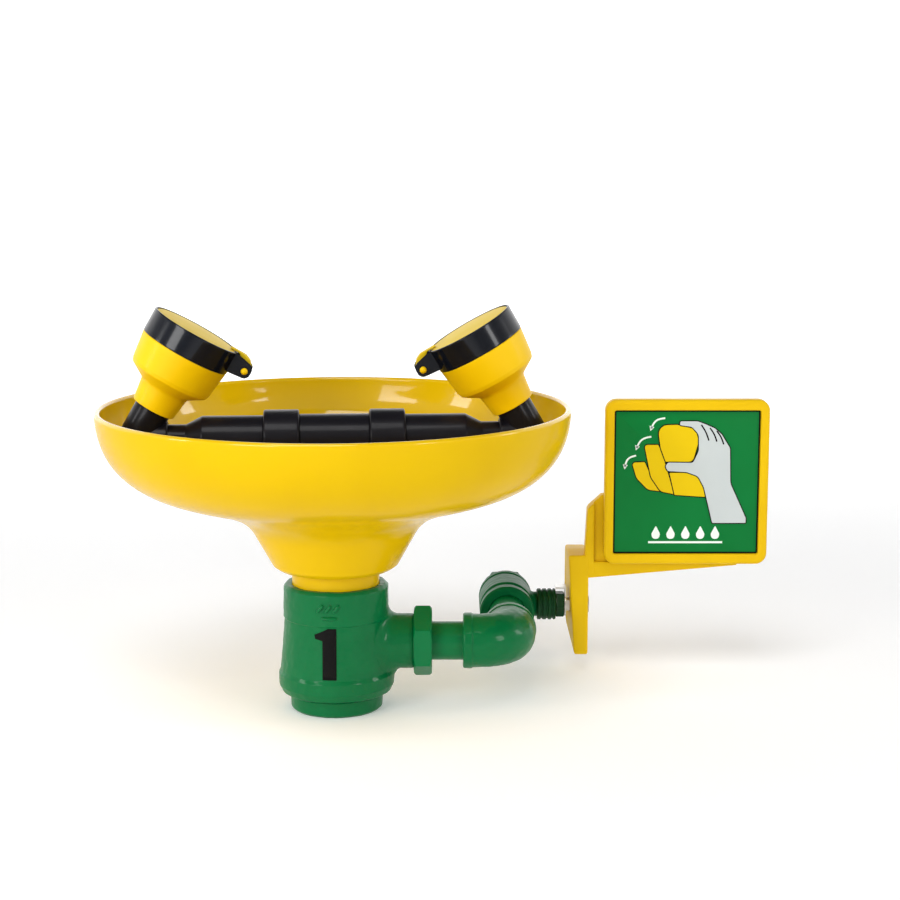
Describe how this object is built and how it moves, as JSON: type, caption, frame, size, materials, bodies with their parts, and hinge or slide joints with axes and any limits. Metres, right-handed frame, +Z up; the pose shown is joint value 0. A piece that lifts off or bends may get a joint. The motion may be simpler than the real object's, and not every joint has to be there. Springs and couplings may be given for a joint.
{
  "type": "emergency eye and face wash",
  "caption": "Bowl eye and face wash of an emergency shower: waste tee, twin spray heads with flip lids, and a ball valve worked by a push flag.",
  "frame": {"origin": "centre of the drain outlet's mouth, on the bowl's axis", "axes": "+Z up the bowl's axis, +Y back to the wall and out of the supply inlet, +X towards the push flag"},
  "size_m": [0.3758, 0.258, 0.2233],
  "materials": {
    "bowl_yellow": "glossy moulded plastic, safety yellow",
    "cup_yellow": "satin moulded plastic, safety yellow",
    "moulded_yellow": "satin moulded plastic, safety yellow",
    "green_paint": "gloss paint over rough cast iron",
    "dark_green_paint": "gloss paint over cast iron",
    "sign_green": "printed vinyl sheet",
    "black_plastic": "semi-gloss moulded plastic",
    "grey_plastic": "perforated moulded disc",
    "grey_foam": "open-cell filter foam",
    "white_seal": "low-friction white plastic",
    "black_rubber": "rubber ring",
    "steel": "stainless steel",
    "riser_metal": "galvanised steel pipe",
    "chromed_ball": "polished chrome-plated ball"
  },
  "bodies": {
    "root": {"bowl": "bowl_yellow", "waste_tee": "green_paint", "drain_bush": "green_paint", "inlet_nipple": "green_paint", "lock_nut": "green_paint", "supply_elbow": "green_paint", "valve_nipple": "green_paint", "valve_body": "dark_green_paint", "valve_end_cap": "dark_green_paint", "gland_nut": "dark_green_paint", "ball_seats": "white_seal", "stem_packing": "white_seal", "riser_pipe": "riser_metal", "drain_strainer": "steel", "manifold_tee": "black_plastic", "left_coupling": "black_plastic", "left_arm": "black_plastic", "left_manifold_elbow": "black_plastic", "left_cap_ring": "black_plastic", "left_spray_cup": "cup_yellow", "left_hinge_pin": "cup_yellow", "left_spray_disc": "grey_plastic", "left_foam_filter": "grey_foam", "left_flow_control": "white_seal", "left_neck_seal": "black_rubber", "right_coupling": "black_plastic", "right_arm": "black_plastic", "right_manifold_elbow": "black_plastic", "right_cap_ring": "black_plastic", "right_spray_cup": "cup_yellow", "right_hinge_pin": "cup_yellow", "right_spray_disc": "grey_plastic", "right_foam_filter": "grey_foam", "right_flow_control": "white_seal", "right_neck_seal": "black_rubber"},
    "push_handle": {"lever": "moulded_yellow", "flag_frame": "moulded_yellow", "flag_sign": "sign_green", "flag_screws": "steel", "lever_screw": "steel", "stop_plate": "steel", "valve_stem": "steel", "valve_ball": "chromed_ball"},
    "left_lid": {"left_dust_lid": "cup_yellow"},
    "right_lid": {"right_dust_lid": "cup_yellow"}
  },
  "joints": [
    {"name": "valve_turn", "type": "hinge", "parent": "root", "child": "push_handle", "pos_m": [0.0965, 0.084, 0.0374], "axis": [-1, 0, 0], "range_deg": [0, 90]},
    {"name": "left_lid_hinge", "type": "hinge", "parent": "root", "child": "left_lid", "pos_m": [-0.04796, -0.00335, 0.18902], "axis": [-0.0698, 0.9976, 0], "range_deg": [0, 110]},
    {"name": "right_lid_hinge", "type": "hinge", "parent": "root", "child": "right_lid", "pos_m": [0.04796, 0.00335, 0.18902], "axis": [0.0698, -0.9976, 0], "range_deg": [0, 110]}
  ]
}
